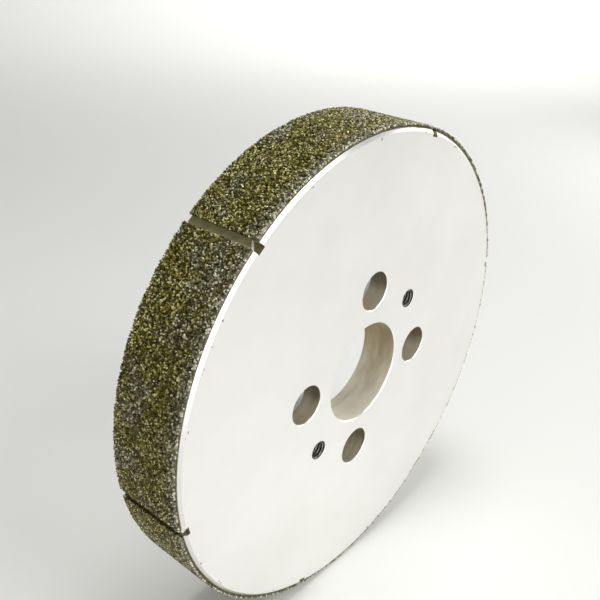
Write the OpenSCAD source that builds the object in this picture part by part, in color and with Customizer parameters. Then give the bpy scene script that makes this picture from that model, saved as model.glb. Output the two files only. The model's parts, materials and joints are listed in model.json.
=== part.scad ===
// Diamond grinding wheel: a machined steel core that carries six plated
// abrasive lands on its rim, with a narrow slot between each land and the next.
//
// Frame: the wheel turns about the Y axis and its centre is the origin.
// The flat mounting face looks along -Y, the recessed back along +Y, +Z is up.

/* [Wheel] */
// Diameter over the diamond grit
wheel_d = 150; // [124:1:220]
// Width of the rim
rim_w = 24; // [18:0.5:36]
// Bare 45 degree chamfer at both edges of the rim
edge_chamfer = 0.8; // [0.3:0.1:1.5]

/* [Core] */
// Thickness of the web, measured from the mounting face
web_t = 12; // [9:0.5:18]
// Diameter of the recess in the back
recess_d = 108; // [86:1:118]
// Radius of the recess where its floor meets its wall
recess_fillet = 1.2; // [0.4:0.1:1.4]
// Chamfer at the mouth of the recess
recess_chamfer = 0.8; // [0.2:0.1:1.5]
// Diameter of the centre bore
bore_d = 32; // [16:0.5:34]
// Chamfer at both ends of the bore
bore_chamfer = 0.3; // [0.1:0.1:0.8]

/* [Bolt circle] */
// Diameter of the circle that the bolt and jacking holes lie on
bolt_circle_d = 54; // [52.5:0.5:70]
// Diameter of the four clearance holes
bolt_d = 12; // [8:0.5:13.5]
// Edge break where a clearance hole meets the mounting face
bolt_edge = 0.2; // [0.1:0.1:0.6]
// Diameter of the counterbore that takes a screw head
head_d = 18; // [15:0.5:19]
// Depth of the counterbore below the floor of the recess
head_depth = 6; // [3:0.5:8]
// Thread diameter of the two jacking holes
jack_d = 6; // [4:0.5:8]

/* [Slots] */
// Width of the slots across the rim
slot_w = 2.5; // [1.5:0.1:5]
// Depth of the slots below the surface of the core
slot_depth = 0.4; // [0.2:0.1:1]
// Direction of the first slot, turned from +X towards +Z
slot_angle = 14; // [0:0.5:59.5]
// Depth of the outlet at the mounting face, below the surface of the core
outlet_depth = 1.6; // [1.2:0.1:3]
// Length of the outlet along its longer side
outlet_long = 3.4; // [2:0.1:6]
// Length of the outlet along its shorter side
outlet_short = 1.6; // [1:0.1:6]

/* [Abrasive] */
// Thickness of the plated nickel bond
bond_t = 0.5; // [0.3:0.1:1]
// Height of the diamond grit above the bond
grit_t = 0.8; // [0.3:0.1:1.2]
// Bevel at the two edges of the grit
grit_bevel = 0.3; // [0.1:0.1:0.6]

/* [Hidden] */

land_n = 6;                     // abrasive lands, each with a slot before it
land_pitch = 360 / land_n;
bolt_n = 4;
bolt_pitch = 360 / bolt_n;
jack_n = 2;
jack_pitch = 360 / jack_n;
jack_angle = bolt_pitch / 2;    // midway between two bolt holes

wheel_r = wheel_d / 2;
bond_r = wheel_r - grit_t;      // where the bond ends and the grit begins
core_r = bond_r - bond_t;
front_z = rim_w / 2;            // heights along the wheel's own axis
back_z = -rim_w / 2;
web_back_z = front_z - web_t;
recess_depth = rim_w - web_t;
land_half_w = rim_w / 2 - edge_chamfer;
over = 1;                       // how far a cut runs past the surface it opens
round_fn = 180;

// Stands the wheel up: its axis, modelled along Z, turns to the Y axis.
module upright() {
    rotate([90, 0, 0]) children();
}

// A 45 degree countersink of the given leg at height z, widening away from the hole.
// side is 1 where the hole opens upwards and -1 where it opens downwards.
module hole_chamfer(r, leg, z, side) {
    low = side > 0 ? r : r + leg + over;
    high = side > 0 ? r + leg + over : r;
    start = side > 0 ? z - leg : z - over;
    translate([0, 0, start]) cylinder(h = leg + over, r1 = low, r2 = high, $fn = round_fn);
}

// Turned outline of the core, before anything is cut out of it.
module core_blank() {
    rotate_extrude($fn = round_fn)
        polygon([
            [0, back_z],
            [core_r - edge_chamfer, back_z],
            [core_r, back_z + edge_chamfer],
            [core_r, front_z - edge_chamfer],
            [core_r - edge_chamfer, front_z],
            [0, front_z]
        ]);
}

// Recess in the back, with a rounded corner between its floor and its wall.
module recess_cut() {
    recess_r = recess_d / 2;
    translate([0, 0, web_back_z]) mirror([0, 0, 1])
        rotate_extrude($fn = round_fn) {
            square([recess_r - recess_fillet, recess_depth + over]);
            translate([0, recess_fillet])
                square([recess_r, recess_depth + over - recess_fillet]);
            translate([recess_r - recess_fillet, recess_fillet])
                circle(r = recess_fillet, $fn = 48);
        }
    hole_chamfer(recess_r, recess_chamfer, back_z, -1);
}

module bore_cut() {
    bore_r = bore_d / 2;
    translate([0, 0, web_back_z - over])
        cylinder(h = web_t + 2 * over, r = bore_r, $fn = round_fn);
    hole_chamfer(bore_r, bore_chamfer, front_z, 1);
    hole_chamfer(bore_r, bore_chamfer, web_back_z, -1);
}

// One clearance hole with the counterbore for its screw head.
module bolt_cut() {
    translate([0, 0, web_back_z - over])
        cylinder(h = web_t + 2 * over, r = bolt_d / 2, $fn = 64);
    translate([0, 0, web_back_z - over])
        cylinder(h = head_depth + over, r = head_d / 2, $fn = 64);
    hole_chamfer(bolt_d / 2, bolt_edge, front_z, 1);
}

module bolt_circle_cuts() {
    for (i = [0 : bolt_n - 1])
        rotate([0, 0, i * bolt_pitch]) translate([bolt_circle_d / 2, 0, 0]) bolt_cut();
    for (i = [0 : jack_n - 1])
        rotate([0, 0, jack_angle + i * jack_pitch])
            translate([bolt_circle_d / 2, 0, web_back_z - over])
                cylinder(h = web_t + 2 * over, r = jack_d / 2, $fn = 48);
}

// A box as wide as a slot, from radius r outwards, right across the rim.
module slot_box(r) {
    translate([r, -slot_w / 2, back_z - over])
        cube([wheel_r - r + over, slot_w, rim_w + 2 * over]);
}

// Deeper outlet where a slot meets the mounting face. Its end wall is slanted.
module slot_outlet() {
    translate([core_r - outlet_depth, 0, 0]) rotate([90, 0, 90])
        linear_extrude(height = outlet_depth + over)
            polygon([
                [-slot_w / 2, front_z + over],
                [-slot_w / 2, front_z - outlet_long],
                [slot_w / 2, front_z - outlet_short],
                [slot_w / 2, front_z + over]
            ]);
}

module core_slots() {
    for (i = [0 : land_n - 1])
        rotate([0, 0, slot_angle + i * land_pitch]) {
            slot_box(core_r - slot_depth);
            slot_outlet();
        }
}

// The sector between the middle of slot i and the middle of the next one.
module land_sector(i) {
    far = 2 * wheel_r;
    start = slot_angle + (i - 1) * land_pitch;
    translate([0, 0, back_z - over])
        linear_extrude(height = rim_w + 2 * over)
            polygon(concat(
                [[0, 0]],
                [for (k = [0 : 2]) let (a = start + k * land_pitch / 2)
                    [far * cos(a), far * sin(a)]]
            ));
}

// Land i of a layer between two radii, cut back by half a slot at both ends.
module land(i, inner_r, outer_r, bevel) {
    difference() {
        intersection() {
            rotate_extrude($fn = round_fn)
                polygon([
                    [inner_r, -land_half_w],
                    [outer_r - bevel, -land_half_w],
                    [outer_r, bevel - land_half_w],
                    [outer_r, land_half_w - bevel],
                    [outer_r - bevel, land_half_w],
                    [inner_r, land_half_w]
                ]);
            land_sector(i);
        }
        for (k = [i - 1, i])
            rotate([0, 0, slot_angle + k * land_pitch]) slot_box(inner_r / 2);
    }
}

module core() {
    color("gainsboro") upright() difference() {
        core_blank();
        recess_cut();
        bore_cut();
        bolt_circle_cuts();
        core_slots();
    }
}

module nickel_bond(i) {
    color("darkkhaki") upright() land(i, core_r, bond_r, bond_t / 4);
}

module diamond_grit(i) {
    color("olivedrab") upright() land(i, bond_r, wheel_r, grit_bevel);
}

core();
for (i = [1 : land_n]) {
    nickel_bond(i);
    diamond_grit(i);
}
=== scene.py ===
"""A diamond grinding wheel: turned steel core, nickel bond and diamond grit on the rim."""
import json
import math
from itertools import permutations, product

import bmesh
import bpy
from mathutils import Matrix, Vector

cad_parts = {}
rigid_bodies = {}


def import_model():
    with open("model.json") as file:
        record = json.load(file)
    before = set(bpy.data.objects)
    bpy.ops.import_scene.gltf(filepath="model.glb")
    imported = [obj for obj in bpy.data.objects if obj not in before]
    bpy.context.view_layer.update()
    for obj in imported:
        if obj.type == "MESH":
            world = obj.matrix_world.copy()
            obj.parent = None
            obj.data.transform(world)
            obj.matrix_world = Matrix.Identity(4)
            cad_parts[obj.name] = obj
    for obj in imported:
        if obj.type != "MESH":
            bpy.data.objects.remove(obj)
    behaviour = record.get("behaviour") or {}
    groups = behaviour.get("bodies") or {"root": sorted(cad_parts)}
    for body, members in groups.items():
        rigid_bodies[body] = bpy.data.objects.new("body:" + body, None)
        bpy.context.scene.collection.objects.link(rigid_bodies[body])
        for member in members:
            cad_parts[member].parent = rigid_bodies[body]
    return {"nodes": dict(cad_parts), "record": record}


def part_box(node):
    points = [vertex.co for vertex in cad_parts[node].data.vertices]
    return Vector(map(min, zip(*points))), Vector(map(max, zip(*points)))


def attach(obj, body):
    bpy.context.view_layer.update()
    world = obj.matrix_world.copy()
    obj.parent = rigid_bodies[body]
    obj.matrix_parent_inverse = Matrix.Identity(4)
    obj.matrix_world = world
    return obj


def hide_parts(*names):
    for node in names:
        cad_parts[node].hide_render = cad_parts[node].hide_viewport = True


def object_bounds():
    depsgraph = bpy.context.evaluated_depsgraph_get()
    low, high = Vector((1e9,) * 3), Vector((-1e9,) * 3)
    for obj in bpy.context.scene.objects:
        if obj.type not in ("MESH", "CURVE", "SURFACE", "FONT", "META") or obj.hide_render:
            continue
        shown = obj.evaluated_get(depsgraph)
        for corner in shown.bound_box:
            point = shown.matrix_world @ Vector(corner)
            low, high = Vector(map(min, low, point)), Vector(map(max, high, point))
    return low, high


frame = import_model()
cad_low, cad_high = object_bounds()

MM = 0.001
LANDS = 6
LAND_PITCH = 2 * math.pi / LANDS

# Sizes and places read from the part.
MOUNTS = {mount["name"]: mount for mount in frame["record"]["mounts"]}
WHEEL_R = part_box("diamond_grit_6")[1].x
BOND_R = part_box("nickel_bond_6")[1].x
CORE_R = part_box("core")[1].x
LAND_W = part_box("diamond_grit_6")[1].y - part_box("diamond_grit_6")[0].y
FRONT_Y = cad_low.y
BORE_R = MOUNTS["arbor_bore"]["dims"]["r_mm"] * MM
BOLT_R = MOUNTS["bolt_circle"]["dims"]["hole_r_mm"] * MM
BOLT_CIRCLE_R = MOUNTS["bolt_circle"]["dims"]["pcd_mm"] / 2 * MM
JACK_R = MOUNTS["jacking_hole_1"]["dims"]["r_mm"] * MM
JACK_X = MOUNTS["jacking_hole_1"]["pos_m"][0]
WEB_T = MOUNTS["jacking_hole_1"]["dims"]["length_mm"] * MM

# The slots, as they are cut in the core.
FIRST_SLOT = math.radians(14)
SLOT_W = 2.5 * MM
SLOT_DEPTH = 0.4 * MM
OUTLET_LONG = 3.4 * MM
OUTLET_SHORT = 1.6 * MM

# Diamond grit. The crystals' middles lie where their tips reach the wheel's full radius.
CRYSTAL_SIZE = 0.56 * MM
CRYSTAL_SPACING = 0.34 * MM
CRYSTAL_MIDDLE = 0.42 * MM  # above the bond
CRYSTAL_SINK = 0.1 * MM  # how much deeper a crystal may lie
CRYSTAL_RISE = 0.06 * MM  # how much higher a crystal may lie
GRIT_OVERHANG = 0.15 * MM  # at each side of a land
GRIT_DENSITY = 3e7  # tries for each square metre, so many that the spacing alone thins them

# Threads of the jacking holes, at M6's coarse pitch. The ridge is a saw tooth in section, broad
# on the side of the mounting face and narrow on the side of the back.
THREAD_PITCH = 1.0 * MM
THREAD_RISE = 0.56 * MM  # from the broad side to the narrow side, along the hole
THREAD_BROAD = 0.85  # width of the broad side across the hole, as a share of the pitch
THREAD_NARROW = 0.2  # width of the narrow side across the hole, as a share of the pitch
THREAD_MIDDLE = 0.26 * MM  # from the wall of the hole to the ridge's middle line
THREAD_INSET = 0.3 * MM  # from the faces to the ends of the ridge's middle line

# Masks of the steel reach a little past the surfaces that they are for.
MASK_REACH = 0.5 * MM
END_REACH = 0.4 * MM
RIM_DEPTH = 3 * MM  # deeper than an outlet's floor
STAIN_REACH = 1.6 * MM  # from the edge of the core

# The grit's last rows, measured from the mounting face: grey ones, then the palest, painted pale as
# painted light where the edge catches the lamps.
GREY_ROWS = (6 * MM, 1.5 * MM)
LIT_EDGE_ROWS = (1.8 * MM, 0.9 * MM)

# Node kinds that are used often. A MIX of colours takes inputs 6 and 7 and gives output 2. The
# bounds of RANDOM are inputs 0 and 1 for vectors, 2 and 3 for floats, and 4 and 5 for integers.
MATH = "ShaderNodeMath"
VECTOR = "ShaderNodeVectorMath"
RANGE = "ShaderNodeMapRange"
RAMP = "ShaderNodeValToRGB"
NOISE = "ShaderNodeTexNoise"
MIX = "ShaderNodeMix"
BUMP = "ShaderNodeBump"
PRINCIPLED = "ShaderNodeBsdfPrincipled"
RANDOM = "FunctionNodeRandomValue"


# --- nodes ----------------------------------------------------------------------------

def linear(code):
    """Linear colour of an sRGB hex code."""
    parts = [int(code[i:i + 2], 16) / 255 for i in (1, 3, 5)]
    return [c / 12.92 if c <= 0.04045 else ((c + 0.055) / 1.055) ** 2.4 for c in parts] + [1.0]


def add(tree, kind, inputs=(), out=0, stops=(), **settings):
    """Adds a node with its settings and links, and returns one output, or all of them.

    Inputs come in order or by name: a value, or the output that feeds the socket.
    Stops are a colour ramp's places and hex codes.
    """
    node = tree.nodes.new(kind)
    for name, value in settings.items():
        setattr(node, name, value)
    for i, (spot, code) in enumerate(stops):
        elements = node.color_ramp.elements
        stop = elements[i] if i < len(elements) else elements.new(spot)
        stop.position = spot
        stop.color = linear(code)
    named = inputs.items() if isinstance(inputs, dict) else enumerate(inputs)
    for name, value in named:
        socket = node.inputs[name]
        if isinstance(value, bpy.types.NodeSocket):
            tree.links.new(value, socket)
        else:
            socket.default_value = value
    return node.outputs if out is None else node.outputs[out]


def new_material(name):
    """An empty material, and its tree."""
    made = bpy.data.materials.new(name)
    made.use_nodes = True
    made.node_tree.nodes.clear()
    return made, made.node_tree


def new_group(name, sizes, whole=()):
    """A geometry tree with named inputs. Returns it, its inputs and their identifiers."""
    tree = bpy.data.node_groups.new(name, "GeometryNodeTree")
    identifiers = {}
    for size in sizes:
        kind = "NodeSocketInt" if size in whole else "NodeSocketFloat"
        socket = tree.interface.new_socket(size, in_out="INPUT", socket_type=kind)
        identifiers[size] = socket.identifier
    tree.interface.new_socket("Geometry", in_out="OUTPUT", socket_type="NodeSocketGeometry")
    return tree, add(tree, "NodeGroupInput", out=None), identifiers


# --- materials ------------------------------------------------------------------------

def hole_masks(tree, flat, radius, wall):
    """Masks for the walls of the holes.

    The first is for the bore and the clearance holes, the second for the clearance holes alone,
    and the third for the jacking holes.
    """
    # The quarters of the wheel are folded onto one another, so one hole stands for the others.
    quarter = add(tree, VECTOR, (flat,), operation="ABSOLUTE")
    to_bolt_x = add(tree, VECTOR, (quarter, (BOLT_CIRCLE_R, 0, 0)), out="Value", operation="DISTANCE")
    to_bolt_z = add(tree, VECTOR, (quarter, (0, 0, BOLT_CIRCLE_R)), out="Value", operation="DISTANCE")
    to_bolt = add(tree, MATH, (to_bolt_x, to_bolt_z), operation="MINIMUM")
    to_jack = add(tree, VECTOR, (quarter, (JACK_X, 0, JACK_X)), out="Value", operation="DISTANCE")
    near_bore = add(tree, MATH, (radius, BORE_R + MASK_REACH), operation="LESS_THAN")
    near_bolt = add(tree, MATH, (to_bolt, BOLT_R + MASK_REACH), operation="LESS_THAN")
    near_jack = add(tree, MATH, (to_jack, JACK_R + MASK_REACH), operation="LESS_THAN")
    near_hole = add(tree, MATH, (near_bore, near_bolt), operation="MAXIMUM")
    in_hole = add(tree, MATH, (wall, near_hole), operation="MULTIPLY")
    in_bolt = add(tree, MATH, (wall, near_bolt), operation="MULTIPLY")
    in_jack = add(tree, MATH, (wall, near_jack), operation="MULTIPLY")
    return in_hole, in_bolt, in_jack


def slot_masks(tree, depth, radius, wall):
    """Masks for the slots, their outlets, and the end walls that the cutter left in the outlets, where
    a painted highlight goes.
    """
    on_rim = add(tree, MATH, (radius, CORE_R - RIM_DEPTH), operation="GREATER_THAN")
    in_slot = add(tree, MATH, (wall, on_rim), operation="MULTIPLY")
    # A slot's floor lies just under the surface of the core, an outlet's floor well under it.
    is_deep = add(tree, MATH, (radius, CORE_R - SLOT_DEPTH - MASK_REACH), operation="LESS_THAN")
    in_outlet = add(tree, MATH, (in_slot, is_deep), operation="MULTIPLY")
    behind = add(tree, MATH, (depth, FRONT_Y + OUTLET_SHORT - END_REACH), operation="GREATER_THAN")
    before = add(tree, MATH, (depth, FRONT_Y + OUTLET_LONG + END_REACH), operation="LESS_THAN")
    is_end = add(tree, MATH, (behind, before), operation="MULTIPLY")
    upright = add(tree, MATH, (1.0, wall), operation="SUBTRACT")
    end_wall = add(tree, MATH, (is_end, upright), operation="MULTIPLY")
    end_wall_highlight = add(tree, MATH, (end_wall, on_rim), operation="MULTIPLY")
    return in_slot, in_outlet, end_wall_highlight


def stain_mask(tree, spot, flat, radius, facing):
    """Mask for the stains along the edge of both faces, most of them beside the last slot."""
    last_slot = FIRST_SLOT + (LANDS - 1) * LAND_PITCH
    last_outlet = (CORE_R * math.cos(last_slot), 0, CORE_R * math.sin(last_slot))
    to_last = add(tree, VECTOR, (flat, last_outlet), out="Value", operation="DISTANCE")
    # Beside the last slot a weak noise is enough for a stain, and away from it only a strong one.
    enough = add(tree, RANGE, (to_last, 4 * MM, 18 * MM, 0.46, 0.68), interpolation_type="SMOOTHSTEP")
    stain_at = add(tree, NOISE, {"Vector": spot, "Scale": 1 / (2.2 * MM), "Detail": 3.0})
    stained = add(tree, MATH, (stain_at, enough), operation="GREATER_THAN")
    by_edge = add(tree, MATH, (radius, CORE_R - STAIN_REACH), operation="GREATER_THAN")
    stained_edge = add(tree, MATH, (by_edge, stained), operation="MULTIPLY")
    on_face = add(tree, MATH, (facing, 0.95), operation="GREATER_THAN")
    return add(tree, MATH, (stained_edge, on_face), operation="MULTIPLY")


def oil_films_and_painted_light(tree, spot, height, upward):
    """Colours of the oil in the bore and the clearance holes, with painted light: lighter on their
    lower sides, and darker on their upper sides as painted shade.
    """
    streaks = add(tree, VECTOR, (spot, (0.5, 1.6, 0.5)), operation="MULTIPLY")
    film = add(tree, NOISE, {"Vector": streaks, "Scale": 1 / (7 * MM), "Detail": 5.0})
    uneven = add(tree, MATH, (film, 0.7, -0.1), operation="MULTIPLY_ADD")
    # Painted light and shade: each wall is painted lighter toward its lower side and darker toward its
    # upper side.
    bore_painted_light = add(tree, RANGE, (height, 0.6 * BORE_R, -0.9 * BORE_R), interpolation_type="SMOOTHSTEP")
    bore_oil_and_light = add(tree, MATH, (bore_painted_light, 0.5, uneven), operation="MULTIPLY_ADD")
    bore_film_and_painted_light = add(tree, RAMP, (bore_oil_and_light,), stops=[
        (0.15, "#83765c"), (0.45, "#b4a687"), (0.75, "#eae4d2")])
    bolt_painted_light = add(tree, RANGE, (upward, -0.6, 0.9), interpolation_type="SMOOTHSTEP")
    bolt_oil_and_light = add(tree, MATH, (bolt_painted_light, 0.5, uneven), operation="MULTIPLY_ADD")
    bolt_film_and_painted_light = add(tree, RAMP, (bolt_oil_and_light,), stops=[
        (0.15, "#5f5645"), (0.45, "#7f7560"), (0.75, "#b9af99")])
    return bore_film_and_painted_light, bolt_film_and_painted_light


def tool_rings(tree, spot, radius):
    """Bump of the rings that the tool left on the faces, worn away in places."""
    # The tool's feed is drawn 0.9 mm a turn, because the real feed of 0.1 mm is too fine to show.
    turns = add(tree, MATH, (radius, 2 * math.pi / (0.9 * MM)), operation="MULTIPLY")
    rings = add(tree, MATH, (turns,), operation="SINE")
    worn = add(tree, NOISE, {"Vector": spot, "Scale": 1 / (9 * MM), "Detail": 3.0})
    height = add(tree, MATH, (rings, worn), operation="MULTIPLY")
    return add(tree, BUMP, {"Strength": 0.12, "Distance": 0.02 * MM, "Height": height})


def turned_steel():
    """Carbon steel, turned and then ground on its faces.

    The eye sees a pale silver face with a satin sheen and faint rings from the tool. The holes
    keep a thin film of cutting oil that browns them and takes their shine. It is painted darker on
    their upper sides as painted shade and lighter on their lower sides as painted light, and the
    jacking holes' walls are painted near black as painted shade. The bare slots are stained olive
    by the plating bath, the deeper outlets are painted darker still, partly as painted shade, and
    the outlets' end walls are painted white as a painted highlight.
    """
    made, tree = new_material("turned_steel")
    coordinates = add(tree, "ShaderNodeTexCoord", out=None)
    spot = coordinates["Object"]
    place = add(tree, "ShaderNodeSeparateXYZ", (spot,), out=None)
    normal = add(tree, "ShaderNodeSeparateXYZ", (coordinates["Normal"],), out=None)
    flat = add(tree, VECTOR, (spot, (1, 0, 1)), operation="MULTIPLY")
    radius = add(tree, VECTOR, (flat,), out="Value", operation="LENGTH")
    facing = add(tree, MATH, (normal[1],), operation="ABSOLUTE")
    wall = add(tree, RANGE, (facing, 0.5, 0.25), interpolation_type="SMOOTHSTEP")
    in_hole, in_bolt, in_jack = hole_masks(tree, flat, radius, wall)
    in_slot, in_outlet, end_wall_highlight = slot_masks(tree, place[1], radius, wall)
    stain = stain_mask(tree, spot, flat, radius, facing)
    bore_film_and_painted_light, bolt_film_and_painted_light = oil_films_and_painted_light(tree, spot, place[2], normal[2])

    cloud = add(tree, NOISE, {"Vector": spot, "Scale": 1 / (22 * MM), "Detail": 4.0})
    grime = add(tree, NOISE, {"Vector": spot, "Scale": 1 / (3 * MM), "Detail": 3.0})
    colour = add(tree, RAMP, (cloud,), stops=[(0.3, "#f2f1ee"), (0.7, "#f7f6f4")])
    olive = add(tree, RAMP, (grime,), stops=[(0.3, "#8a8560"), (0.7, "#a8a27a")])
    layers = (
        (in_hole, bore_film_and_painted_light),
        (in_bolt, bolt_film_and_painted_light),
        (in_slot, olive),
        # The outlets' floors are painted darker brown than the slots': olive stain, plus painted shade
        # in the deeper recess.
        (in_outlet, linear("#7d7050")),
        # Painted shade: the jacking holes' walls are painted near black, as the shade deep inside the
        # narrow holes.
        (in_jack, linear("#2e2b26")),
        # Painted highlight: the outlets' end walls are painted near white so that they show bright.
        (end_wall_highlight, linear("#fdfdfb")),
        (stain, linear("#b3a78f")),
    )
    # Each layer covers the ones before it.
    for mask, paint in layers:
        colour = add(tree, MIX, {0: mask, 6: colour, 7: paint}, out=2, data_type="RGBA")
    dulled = add(tree, MATH, (in_hole, in_slot), operation="MAXIMUM")
    # The end walls are also made less metallic, as part of their painted highlight.
    matt = add(tree, MATH, (dulled, end_wall_highlight), operation="MAXIMUM")
    metallic = add(tree, RANGE, {"Value": matt, "To Min": 1.0, "To Max": 0.45})
    roughness = add(tree, RANGE, {"Value": matt, "To Min": 0.36, "To Max": 0.6})
    shader = add(tree, PRINCIPLED, {
        "Base Color": colour, "Metallic": metallic, "Roughness": roughness,
        "Normal": tool_rings(tree, spot, radius)})
    add(tree, "ShaderNodeOutputMaterial", (shader,), out=None)
    return made


def tapped_steel():
    """The same steel cut by a tap: smooth and shiny, painted darker than the faces and darker still in
    patches.
    """
    made, tree = new_material("tapped_steel")
    spot = add(tree, "ShaderNodeTexCoord", out="Object")
    dark_patches = add(tree, NOISE, {"Vector": spot, "Scale": 1 / (0.8 * MM), "Detail": 3.0})
    colour = add(tree, RAMP, (dark_patches,), stops=[(0.35, "#5b554a"), (0.6, "#a5a096")])
    shader = add(tree, PRINCIPLED, {"Base Color": colour, "Metallic": 1.0, "Roughness": 0.28})
    add(tree, "ShaderNodeOutputMaterial", (shader,), out=None)
    return made


def plated_nickel():
    """Electroplated nickel, left as plated: a matt nodular skin dulled to a greyish olive."""
    made, tree = new_material("plated_nickel")
    spot = add(tree, "ShaderNodeTexCoord", out="Object")
    # Real nodules are under 0.1 mm wide. They are drawn 0.5 mm wide, because less doesn't show.
    nodules = add(tree, NOISE, {"Vector": spot, "Scale": 1 / (0.5 * MM), "Detail": 2.0})
    colour = add(tree, RAMP, (nodules,), stops=[(0.3, "#45412c"), (0.55, "#706b52"), (0.8, "#9a9578")])
    relief = add(tree, BUMP, {"Strength": 0.8, "Distance": 0.15 * MM, "Height": nodules})
    shader = add(tree, PRINCIPLED, {
        "Base Color": colour, "Metallic": 0.85, "Roughness": 0.5, "Normal": relief})
    add(tree, "ShaderNodeOutputMaterial", (shader,), out=None)
    return made


def synthetic_diamond():
    """Synthetic diamond grit, as grown: blocky crystals of dark olive, packed close together.

    Each crystal has its own tone, and small glassy facets that flash pale straw. The nickel film
    on them takes most of diamond's own strong reflection away, so the index is well under 2.4.
    They turn greyer in patches and toward the mounting face, where the last row is painted palest as
    painted light on the edge that faces the lamps.
    """
    made, tree = new_material("synthetic_diamond")
    spot = add(tree, "ShaderNodeTexCoord", out="Object")
    tone = add(tree, "ShaderNodeAttribute", out="Fac", attribute_name="tone")
    olive = add(tree, RAMP, (tone,), stops=[
        (0.0, "#141200"), (0.45, "#453f0e"), (0.8, "#80772f"), (1.0, "#d6cf98")])
    grey = add(tree, RAMP, (tone,), stops=[
        (0.0, "#191913"), (0.45, "#4f4f3d"), (0.8, "#8c8b76"), (1.0, "#e4e4d6")])
    lit_edge_tones = add(tree, RAMP, (tone,), stops=[(0.0, "#3c3a28"), (0.5, "#827f68"), (1.0, "#dedbc8")])
    patch = add(tree, NOISE, {"Vector": spot, "Scale": 1 / (9 * MM), "Detail": 3.0})
    patches = add(tree, RANGE, {"Value": patch, "From Min": 0.46, "From Max": 0.68, "To Max": 0.8},
                  interpolation_type="SMOOTHSTEP")
    depth = add(tree, "ShaderNodeSeparateXYZ", (spot,), out=1)
    grey_rows = [FRONT_Y + row for row in GREY_ROWS]
    lit_edge_rows = [FRONT_Y + row for row in LIT_EDGE_ROWS]
    border = add(tree, RANGE, (depth, *grey_rows, 0.0, 0.7), interpolation_type="SMOOTHSTEP")
    greyness = add(tree, MATH, (patches, border), operation="MAXIMUM")
    # Painted light: the last row at the mounting face is painted pale, as the lit edge.
    lit_edge = add(tree, RANGE, (depth, *lit_edge_rows), interpolation_type="SMOOTHSTEP")
    colour = add(tree, MIX, {0: greyness, 6: olive, 7: grey}, out=2, data_type="RGBA")
    colour = add(tree, MIX, {0: lit_edge, 6: colour, 7: lit_edge_tones}, out=2, data_type="RGBA")
    shader = add(tree, PRINCIPLED, {
        "Base Color": colour, "Roughness": 0.2, "IOR": 1.7, "Specular Tint": linear("#d8d2a0")})
    add(tree, "ShaderNodeOutputMaterial", (shader,), out=None)
    return made


def white_paper():
    """White paper, uncoated: an even matt floor that takes soft shadows and has no shine."""
    made, tree = new_material("white_paper")
    shader = add(tree, PRINCIPLED, {"Base Color": linear("#e9e9e6"), "Roughness": 0.8})
    add(tree, "ShaderNodeOutputMaterial", (shader,), out=None)
    return made


# --- diamond grit ---------------------------------------------------------------------

def crystal(name, corners):
    """Convex crystal round the given corners, about one unit across."""
    work = bmesh.new()
    for corner in corners:
        work.verts.new(corner)
    bmesh.ops.convex_hull(work, input=work.verts)
    bmesh.ops.recalc_face_normals(work, faces=work.faces)
    mesh = bpy.data.meshes.new(name)
    work.to_mesh(mesh)
    work.free()
    return bpy.data.objects.new(name, mesh)


def signed(*lengths):
    """The lengths as corner points, in every order and with every sign."""
    orders = product(permutations(lengths), product((1, -1), repeat=3))
    return sorted({tuple(a * s for a, s in zip(order, sign)) for order, sign in orders})


def crystal_habits():
    """Two habits that synthetic diamond grows in, and a broken block, to pick from."""
    habits = bpy.data.collections.new("crystals")
    habits.objects.link(crystal("cuboctahedron", signed(0.4, 0.4, 0.0)))
    habits.objects.link(crystal("octahedron", signed(0.58, 0.0, 0.0)))
    habits.objects.link(crystal("broken_block", [
        (-0.4, -0.34, -0.3), (0.36, -0.42, -0.3), (0.42, 0.3, -0.36), (-0.3, 0.4, -0.34),
        (-0.36, -0.3, 0.36), (0.3, -0.34, 0.3), (0.34, 0.4, 0.36), (-0.42, 0.3, 0.3)]))
    return habits


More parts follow.
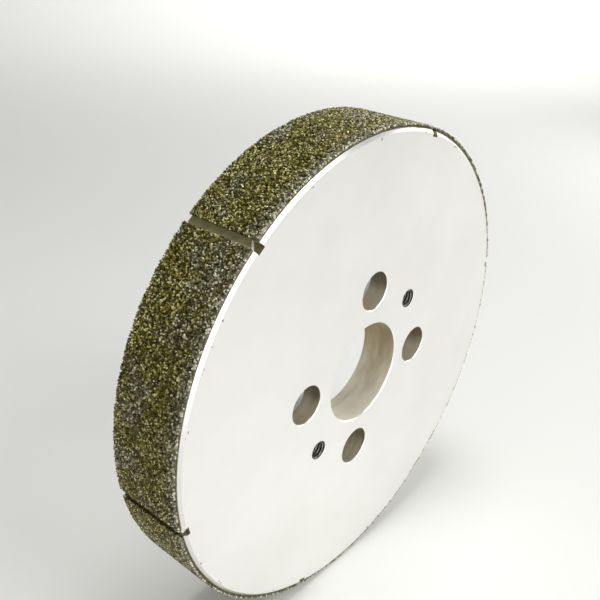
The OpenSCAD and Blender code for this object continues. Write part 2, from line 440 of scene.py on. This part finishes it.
def grit_tree(habits, diamond):
    """Scatters crystals over a land: a flat sheet of points is rolled round the wheel's axis."""
    tree, given, identifiers = new_group(
        "scatter_grit", ("Radius", "Width", "Start", "Sweep", "Spacing", "Size", "Seed"), ("Seed",))
    length = add(tree, MATH, (given["Radius"], given["Sweep"]), operation="MULTIPLY")
    sheet = add(tree, "GeometryNodeMeshGrid", {
        "Size X": length, "Size Y": given["Width"], "Vertices X": 2, "Vertices Y": 2})
    points = add(tree, "GeometryNodeDistributePointsOnFaces", {
        "Mesh": sheet, "Distance Min": given["Spacing"], "Density Max": GRIT_DENSITY,
        "Seed": given["Seed"]}, distribute_method="POISSON")

    # The length along the sheet becomes an angle, and each crystal lies a little high or low.
    spot = add(tree, "GeometryNodeInputPosition")
    sides = add(tree, "ShaderNodeSeparateXYZ", (spot,), out=None)
    share = add(tree, MATH, (sides[0], length), operation="DIVIDE")
    along = add(tree, MATH, (share, 0.5), operation="ADD")
    turned = add(tree, MATH, (along, given["Sweep"]), operation="MULTIPLY")
    angle = add(tree, MATH, (given["Start"], turned), operation="ADD")
    lift = add(tree, RANDOM, {2: -CRYSTAL_SINK, 3: CRYSTAL_RISE, "Seed": 5}, out=1, data_type="FLOAT")
    reach = add(tree, MATH, (given["Radius"], lift), operation="ADD")
    cosine = add(tree, MATH, (angle,), operation="COSINE")
    sine = add(tree, MATH, (angle,), operation="SINE")
    x = add(tree, MATH, (reach, cosine), operation="MULTIPLY")
    z = add(tree, MATH, (reach, sine), operation="MULTIPLY")
    rolled = add(tree, "ShaderNodeCombineXYZ", (x, sides[1], z))
    points = add(tree, "GeometryNodeSetPosition", {"Geometry": points, "Position": rolled})

    shade = add(tree, RANDOM, {"Seed": 9}, out=1, data_type="FLOAT")
    points = add(tree, "GeometryNodeStoreNamedAttribute", {
        "Geometry": points, "Name": "tone", "Value": shade}, data_type="FLOAT", domain="POINT")
    shapes = add(tree, "GeometryNodeCollectionInfo", {
        "Collection": habits, "Separate Children": True, "Reset Children": True})
    pick = add(tree, RANDOM, {4: 0, 5: len(habits.objects) - 1, "Seed": 3}, out=2, data_type="INT")
    full_turn = (2 * math.pi,) * 3
    turn = add(tree, RANDOM, {1: full_turn, "Seed": 1}, data_type="FLOAT_VECTOR")
    blocky = add(tree, RANDOM, {0: (0.8,) * 3, 1: (1.25,) * 3, "Seed": 2}, data_type="FLOAT_VECTOR")
    scale = add(tree, VECTOR, {0: blocky, "Scale": given["Size"]}, operation="SCALE")
    placed = add(tree, "GeometryNodeInstanceOnPoints", {
        "Points": points, "Instance": shapes, "Pick Instance": True, "Instance Index": pick,
        "Rotation": turn, "Scale": scale})
    solid = add(tree, "GeometryNodeRealizeInstances", (placed,))
    solid = add(tree, "GeometryNodeSetMaterial", {"Geometry": solid, "Material": diamond})
    add(tree, "NodeGroupOutput", (solid,), out=None)
    return tree, identifiers


def baked(name, tree, identifiers, sizes):
    """Runs a geometry tree with its inputs set, and returns the result as a plain mesh."""
    maker = bpy.data.objects.new(name + "_maker", bpy.data.meshes.new(name + "_maker"))
    bpy.context.scene.collection.objects.link(maker)
    modifier = maker.modifiers.new(name, "NODES")
    modifier.node_group = tree
    for size, value in sizes.items():
        modifier[identifiers[size]] = value
    evaluated = maker.evaluated_get(bpy.context.evaluated_depsgraph_get())
    mesh = bpy.data.meshes.new_from_object(evaluated)
    mesh.name = name
    maker.modifiers.clear()
    bpy.data.objects.remove(maker)
    piece = bpy.data.objects.new(name, mesh)
    bpy.context.scene.collection.objects.link(piece)
    return piece


def grit_layers():
    """Diamond grit on each land, from one slot to the next."""
    habits = crystal_habits()
    tree, identifiers = grit_tree(habits, synthetic_diamond())
    half_slot = SLOT_W / 2 / BOND_R
    sizes = {
        "Radius": BOND_R + CRYSTAL_MIDDLE, "Width": LAND_W + 2 * GRIT_OVERHANG,
        "Sweep": LAND_PITCH - 2 * half_slot, "Spacing": CRYSTAL_SPACING, "Size": CRYSTAL_SIZE,
    }
    for i in range(LANDS):
        start = FIRST_SLOT + i * LAND_PITCH + half_slot
        piece = baked(f"grit_{i + 1}", tree, identifiers, dict(sizes, Start=start, Seed=i + 1))
        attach(piece, "root")
        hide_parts(f"diamond_grit_{i + 1}")
    for shape in list(habits.objects):
        bpy.data.objects.remove(shape)


# --- threads of the jacking holes -----------------------------------------------------

def thread_tree(steel):
    """A ridge that climbs along the Z axis: a trapezoid swept along a helix.

    The trapezoid's parallel sides lie across the climb, and the narrow one comes first.
    """
    tree, given, identifiers = new_group("thread", ("Radius", "Pitch", "Turns", "Rise"))
    climb = add(tree, MATH, (given["Turns"], given["Pitch"]), operation="MULTIPLY")
    broad = add(tree, MATH, (given["Pitch"], THREAD_BROAD), operation="MULTIPLY")
    narrow = add(tree, MATH, (given["Pitch"], THREAD_NARROW), operation="MULTIPLY")
    helix = add(tree, "GeometryNodeCurveSpiral", {
        "Resolution": 40, "Rotations": given["Turns"], "Start Radius": given["Radius"],
        "End Radius": given["Radius"], "Height": climb})
    helix = add(tree, "GeometryNodeSetCurveNormal", {"Curve": helix}, mode="Z_UP")
    ridge = add(tree, "GeometryNodeCurvePrimitiveQuadrilateral", {
        "Height": given["Rise"], "Bottom Width": broad, "Top Width": narrow, "Offset": 0.0},
        mode="TRAPEZOID")
    solid = add(tree, "GeometryNodeCurveToMesh", {
        "Curve": helix, "Profile Curve": ridge, "Fill Caps": True})
    solid = add(tree, "GeometryNodeRealizeInstances", (solid,))
    solid = add(tree, "GeometryNodeSetMaterial", {"Geometry": solid, "Material": steel})
    add(tree, "NodeGroupOutput", (solid,), out=None)
    return tree, identifiers


def jacking_threads():
    """Threads in the two jacking holes, each from just inside one face to just inside the other."""
    tree, identifiers = thread_tree(tapped_steel())
    sizes = {
        "Radius": JACK_R - THREAD_MIDDLE, "Pitch": THREAD_PITCH, "Rise": THREAD_RISE,
        "Turns": (WEB_T - 2 * THREAD_INSET) / THREAD_PITCH,
    }
    for i, side in enumerate((1, -1), 1):
        piece = baked(f"jacking_thread_{i}", tree, identifiers, sizes)
        spot = Vector((side * JACK_X, FRONT_Y + WEB_T - THREAD_INSET, side * JACK_X))
        piece.data.transform(Matrix.Translation(spot) @ Matrix.Rotation(math.pi / 2, 4, "X"))
        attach(piece, "root")


# --- the part's own solids ------------------------------------------------------------

def finish_solids():
    """Gives the core and the bond, whose shapes are right as they are, their materials.

    The plain solids of the grit are hidden, and get the bond's.
    """
    steel = turned_steel()
    nickel = plated_nickel()
    for name, node in frame["nodes"].items():
        node.data.materials.clear()
        node.data.materials.append(steel if name == "core" else nickel)


# --- studio ---------------------------------------------------------------------------

def paper_sweep(inner_r=0.4, flat_r=1.1, rise=1.5, steps=24, sides=96):
    """Round sheet of paper under the wheel, flat in the middle and curving up at its edge."""
    quarter = [math.pi / 2 * k / steps for k in range(steps + 1)]
    profile = [(inner_r, 0.0)]
    profile += [(flat_r + rise * math.sin(t), rise * (1 - math.cos(t))) for t in quarter]
    work = bmesh.new()
    middle = work.verts.new((0, 0, -WHEEL_R))
    inner = None
    for radius, height in profile:
        ring = []
        for k in range(sides):
            angle = 2 * math.pi * k / sides
            spot = (radius * math.cos(angle), radius * math.sin(angle), height - WHEEL_R)
            ring.append(work.verts.new(spot))
        for k in range(sides):
            after = (k + 1) % sides
            if inner is None:
                work.faces.new((middle, ring[k], ring[after]))
            else:
                work.faces.new((inner[k], ring[k], ring[after], inner[after]))
        inner = ring
    for face in work.faces:
        face.smooth = True
    mesh = bpy.data.meshes.new("floor")
    work.to_mesh(mesh)
    work.free()
    mesh.materials.append(white_paper())
    floor = bpy.data.objects.new("floor", mesh)
    bpy.context.scene.collection.objects.link(floor)


def daylight(code, strength):
    """Even light from all round."""
    world = bpy.data.worlds.new("studio")
    bpy.context.scene.world = world
    world.use_nodes = True
    world.node_tree.nodes.clear()
    light = add(world.node_tree, "ShaderNodeBackground", (linear(code), strength))
    add(world.node_tree, "ShaderNodeOutputWorld", (light,), out=None)


def softbox(name, spot, aim, size, power):
    """Square lamp of a given size, pointed from one place at another."""
    lamp = bpy.data.lights.new(name, "AREA")
    lamp.shape = "SQUARE"
    lamp.size = size
    lamp.energy = power
    holder = bpy.data.objects.new(name, lamp)
    holder.location = spot
    holder.rotation_mode = "QUATERNION"
    holder.rotation_quaternion = (Vector(aim) - Vector(spot)).to_track_quat("-Z", "Y")
    bpy.context.scene.collection.objects.link(holder)


def set_camera(spot, lens, azimuth, elevation, roll):
    """Camera seen from the object at an azimuth and elevation, turned about its own view."""
    camera = bpy.data.objects.new("camera", bpy.data.cameras.new("camera"))
    camera.data.lens = lens
    camera.data.clip_start = 10 * MM
    toward = Vector((math.sin(azimuth) * math.cos(elevation),
                     -math.cos(azimuth) * math.cos(elevation), math.sin(elevation)))
    turn = (-toward).to_track_quat("-Z", "Y").to_matrix() @ Matrix.Rotation(roll, 3, "Z")
    camera.matrix_world = Matrix.Translation(spot) @ turn.to_4x4()
    bpy.context.scene.collection.objects.link(camera)
    bpy.context.scene.camera = camera


grit_layers()
jacking_threads()
finish_solids()
paper_sweep()
daylight("#f2f2f0", 0.24)
softbox("front", (0.1, -0.75, 0.7), aim=(0.0, 0.0, 0.0), size=0.5, power=3.9)
softbox("fill", (-0.55, -0.85, 0.15), aim=(0.0, 0.0, 0.0), size=0.8, power=6.3)
softbox("right", (0.8, -0.2, 0.25), aim=(0.2, -0.15, -0.07), size=0.4, power=2.3)
softbox("overhead", (0.02, 0.0, 0.4), aim=(0.0, 0.0, 0.05), size=0.15, power=0.78)
softbox("backdrop", (1.3, 0.5, 1.2), aim=(1.6, 1.5, 0.4), size=0.6, power=24.0)
set_camera((-0.1707, -0.1191, 0.1163), lens=45.78,
           azimuth=math.radians(-51.81), elevation=math.radians(25.18), roll=math.radians(5.34))
bpy.context.scene.view_settings.view_transform = "Standard"
